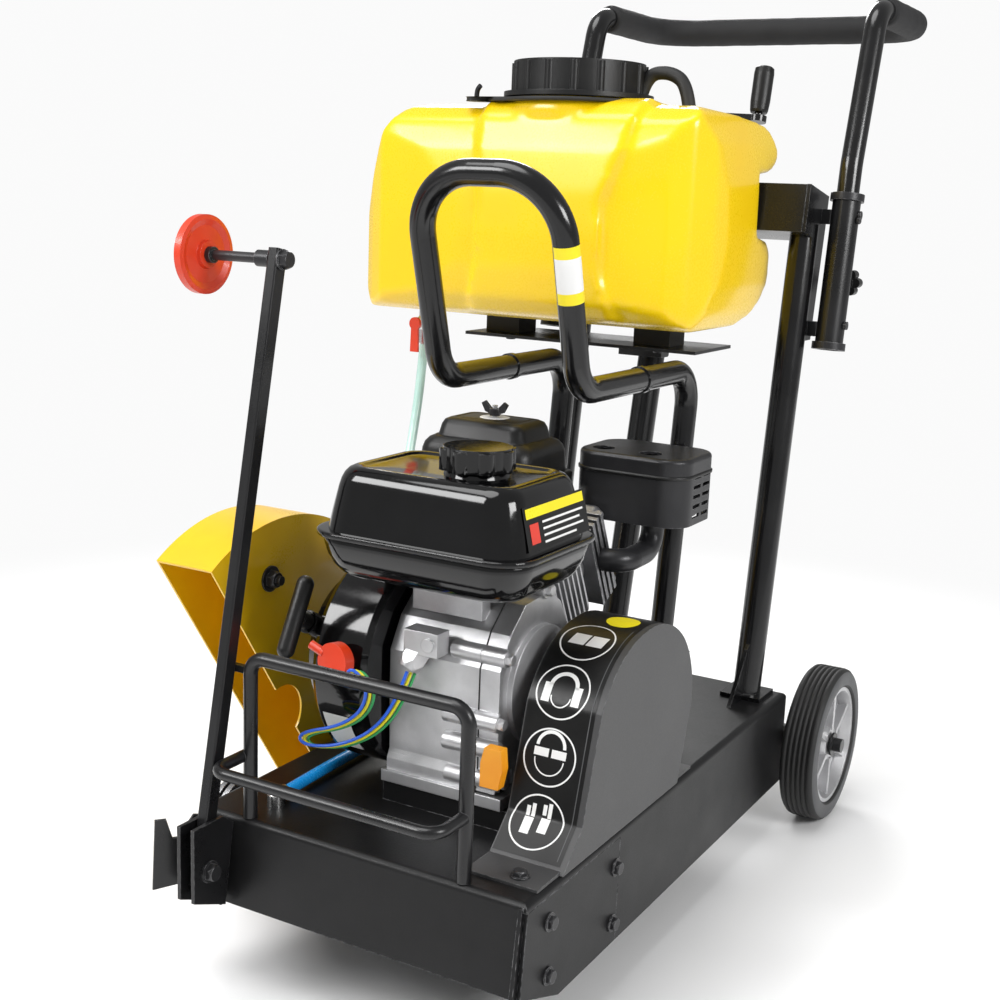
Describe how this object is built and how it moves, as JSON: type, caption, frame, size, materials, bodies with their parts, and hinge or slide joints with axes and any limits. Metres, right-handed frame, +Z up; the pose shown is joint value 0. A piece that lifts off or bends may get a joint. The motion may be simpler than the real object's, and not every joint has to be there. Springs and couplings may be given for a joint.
{
  "type": "walk-behind concrete saw",
  "caption": "Walk-behind concrete saw chassis with petrol engine, belt-driven blade arbor, swing-up blade guard, water tank and depth crank.",
  "frame": {"origin": "middle of the whole saw's box, on the floor under the wheels", "axes": "+X to the belt-guard side, +Y to the operator's handle, +Z up"},
  "size_m": [0.635, 1.1055, 1.0425],
  "materials": {
    "black_enamel": "satin powder coat",
    "grey_panel": "matte powder coat",
    "yellow_enamel": "gloss enamel",
    "yellow_plastic": "moulded gloss",
    "black_plastic": "moulded satin",
    "gloss_black": "gloss enamel",
    "cast_alloy": "as cast",
    "zinc_steel": "zinc plated",
    "black_steel": "black oxide",
    "ground_steel": "ground",
    "red_plastic": "moulded gloss",
    "orange_plastic": "moulded gloss",
    "tyre_rubber": "matte",
    "mount_rubber": "matte",
    "clear_hose": "translucent",
    "blue_hose": "satin",
    "foam": "matte foam",
    "wire_sleeve": "gloss"
  },
  "bodies": {
    "frame": {"deck": "black_enamel", "belt_access_plate": "grey_panel", "panel_bolts": "black_steel", "belt_guard": "grey_panel", "front_bumper": "black_enamel", "pointer_bracket": "black_enamel", "uprights": "black_enamel", "crossbeam": "grey_panel", "handle_sockets": "black_enamel", "socket_rings": "black_plastic", "water_tank": "yellow_plastic", "tank_platform": "black_enamel", "tank_mounts": "mount_rubber", "mount_bolts": "zinc_steel", "water_fittings": "black_plastic", "water_hose": "clear_hose", "spray_hose": "blue_hose", "lifting_bail": "black_enamel", "engine_block": "cast_alloy", "crankcase_cover": "cast_alloy", "cylinder_head": "cast_alloy", "blower_shroud": "gloss_black", "recoil_starter": "gloss_black", "fuel_tank": "gloss_black", "air_cleaner": "black_plastic", "carburettor": "cast_alloy", "muffler": "black_enamel", "ignition_box": "zinc_steel", "wiring": "wire_sleeve", "shaft_bearings": "cast_alloy", "v_belts": "mount_rubber"},
    "pointer": {"pointer_arm": "black_enamel", "pointer_axle": "black_steel"},
    "pointer_wheel": {"pointer_disc": "red_plastic"},
    "handle": {"handlebar": "black_enamel", "foam_grip": "foam"},
    "knob_left": {"clamp_knob_left": "black_plastic"},
    "knob_right": {"clamp_knob_right": "black_plastic"},
    "crank": {"depth_crank": "black_steel"},
    "crank_handle": {"crank_grip": "black_plastic"},
    "lift": {"lift_rod": "zinc_steel"},
    "carriage": {"axle_carriage": "black_steel"},
    "wheel_left": {"rear_tyre_left": "tyre_rubber", "rear_hub_left": "cast_alloy"},
    "wheel_right": {"rear_tyre_right": "tyre_rubber", "rear_hub_right": "cast_alloy"},
    "front_axle": {"front_wheels": "tyre_rubber"},
    "water_cap": {"tank_cap": "black_plastic"},
    "tap": {"tap_lever": "red_plastic"},
    "starter": {"starter_grip": "black_plastic"},
    "stop_switch": {"engine_switch": "red_plastic"},
    "petrol_cap": {"fuel_cap": "black_plastic"},
    "wing_nut": {"cleaner_nut": "black_steel"},
    "oil_dipstick": {"dipstick": "orange_plastic"},
    "throttle": {"throttle_lever": "zinc_steel"},
    "crank_shaft": {"crankshaft": "ground_steel"},
    "arbor": {"blade_shaft": "ground_steel", "blade_flange": "ground_steel"},
    "guard": {"blade_guard": "yellow_enamel", "guard_bolt": "zinc_steel"}
  },
  "joints": [
    {"name": "pointer_fold", "type": "hinge", "parent": "frame", "child": "pointer", "pos_m": [-0.0795, -0.5349, 0.138], "axis": [1, 0, 0], "range_deg": [0, 100]},
    {"name": "pointer_wheel_spin", "type": "hinge", "parent": "pointer", "child": "pointer_wheel", "pos_m": [-0.1695, -0.42232, 0.71716], "axis": [1, 0, 0], "continuous": true},
    {"name": "handle_slide", "type": "slide", "parent": "frame", "child": "handle", "axis": [0, 0.1426, 0.9898], "range_m": [-0.015, 0.06]},
    {"name": "knob_left_turn", "type": "hinge", "parent": "frame", "child": "knob_left", "pos_m": [-0.1195, 0.23984, 0.69302], "axis": [0, 1, 0], "range_deg": [0, 170]},
    {"name": "knob_right_turn", "type": "hinge", "parent": "frame", "child": "knob_right", "pos_m": [0.2605, 0.23984, 0.69302], "axis": [0, 1, 0], "range_deg": [0, 170]},
    {"name": "depth_crank_turn", "type": "hinge", "parent": "frame", "child": "crank", "pos_m": [0.0305, 0.27816, 0.893], "axis": [0, 0.1994, 0.9799], "range_deg": [-1080, 1080]},
    {"name": "crank_handle_spin", "type": "hinge", "parent": "crank", "child": "crank_handle", "pos_m": [0.12458, 0.29112, 0.89036], "axis": [0, 0.1994, 0.9799], "continuous": true},
    {"name": "lift_rod_slide", "type": "slide", "parent": "frame", "child": "lift", "axis": [0, 0.1994, 0.9799], "range_m": [-0.00945, 0.00945]},
    {"name": "axle_swing", "type": "hinge", "parent": "frame", "child": "carriage", "pos_m": [0.0705, 0.0481, 0.1], "axis": [1, 0, 0], "range_deg": [-7.14, 7.14]},
    {"name": "rear_wheel_left_spin", "type": "hinge", "parent": "carriage", "child": "wheel_left", "pos_m": [-0.1465, 0.2511, 0.1], "axis": [1, 0, 0], "continuous": true},
    {"name": "rear_wheel_right_spin", "type": "hinge", "parent": "carriage", "child": "wheel_right", "pos_m": [0.2875, 0.2511, 0.1], "axis": [1, 0, 0], "continuous": true},
    {"name": "front_wheels_spin", "type": "hinge", "parent": "frame", "child": "front_axle", "pos_m": [0.0705, -0.2469, 0.05], "axis": [1, 0, 0], "continuous": true},
    {"name": "tank_cap_lift", "type": "slide", "parent": "frame", "child": "water_cap", "axis": [0, 0, 1], "range_m": [0, 0.06]},
    {"name": "tap_turn", "type": "hinge", "parent": "frame", "child": "tap", "pos_m": [-0.2175, 0.0311, 0.62], "axis": [0, 1, 0], "range_deg": [-90, 0]},
    {"name": "starter_pull", "type": "slide", "parent": "frame", "child": "starter", "axis": [0, -0.8944, 0.4472], "range_m": [0, 0.45], "stiffness_N_per_m": 20},
    {"name": "switch_turn", "type": "hinge", "parent": "frame", "child": "stop_switch", "pos_m": [0.0005, -0.4219, 0.334], "axis": [-0.1476, -0.9841, 0.0984], "range_deg": [0, 60]},
    {"name": "fuel_cap_lift", "type": "slide", "parent": "frame", "child": "petrol_cap", "axis": [0, 0, 1], "range_m": [0, 0.05]},
    {"name": "wing_nut_turn", "type": "hinge", "parent": "frame", "child": "wing_nut", "pos_m": [-0.0055, -0.1259, 0.545], "axis": [0, 0, 1], "range_deg": [0, 360]},
    {"name": "dipstick_pull", "type": "slide", "parent": "frame", "child": "oil_dipstick", "axis": [0.356, -0.864, 0.356], "range_m": [0, 0.04]},
    {"name": "throttle_swing", "type": "hinge", "parent": "frame", "child": "throttle", "pos_m": [-0.0015, -0.2559, 0.469], "axis": [0, 0, 1], "range_deg": [-25, 25]},
    {"name": "crankshaft_spin", "type": "hinge", "parent": "frame", "child": "crank_shaft", "pos_m": [0.0705, -0.3019, 0.31], "axis": [1, 0, 0], "continuous": true},
    {"name": "blade_shaft_spin", "type": "hinge", "parent": "frame", "child": "arbor", "pos_m": [0.0705, -0.3819, 0.117], "axis": [1, 0, 0], "continuous": true},
    {"name": "blade_guard_flip", "type": "hinge", "parent": "frame", "child": "guard", "pos_m": [-0.1295, -0.2484, 0.1337], "axis": [1, 0, 0], "range_deg": [0, 56]}
  ],
  "couplings": [
    {"joint": "lift_rod_slide", "follows": "depth_crank_turn", "m_per_rad": 0.00047746},
    {"joint": "axle_swing", "follows": "depth_crank_turn", "ratio": 0.006299},
    {"joint": "blade_shaft_spin", "follows": "crankshaft_spin", "ratio": 0.90909}
  ]
}
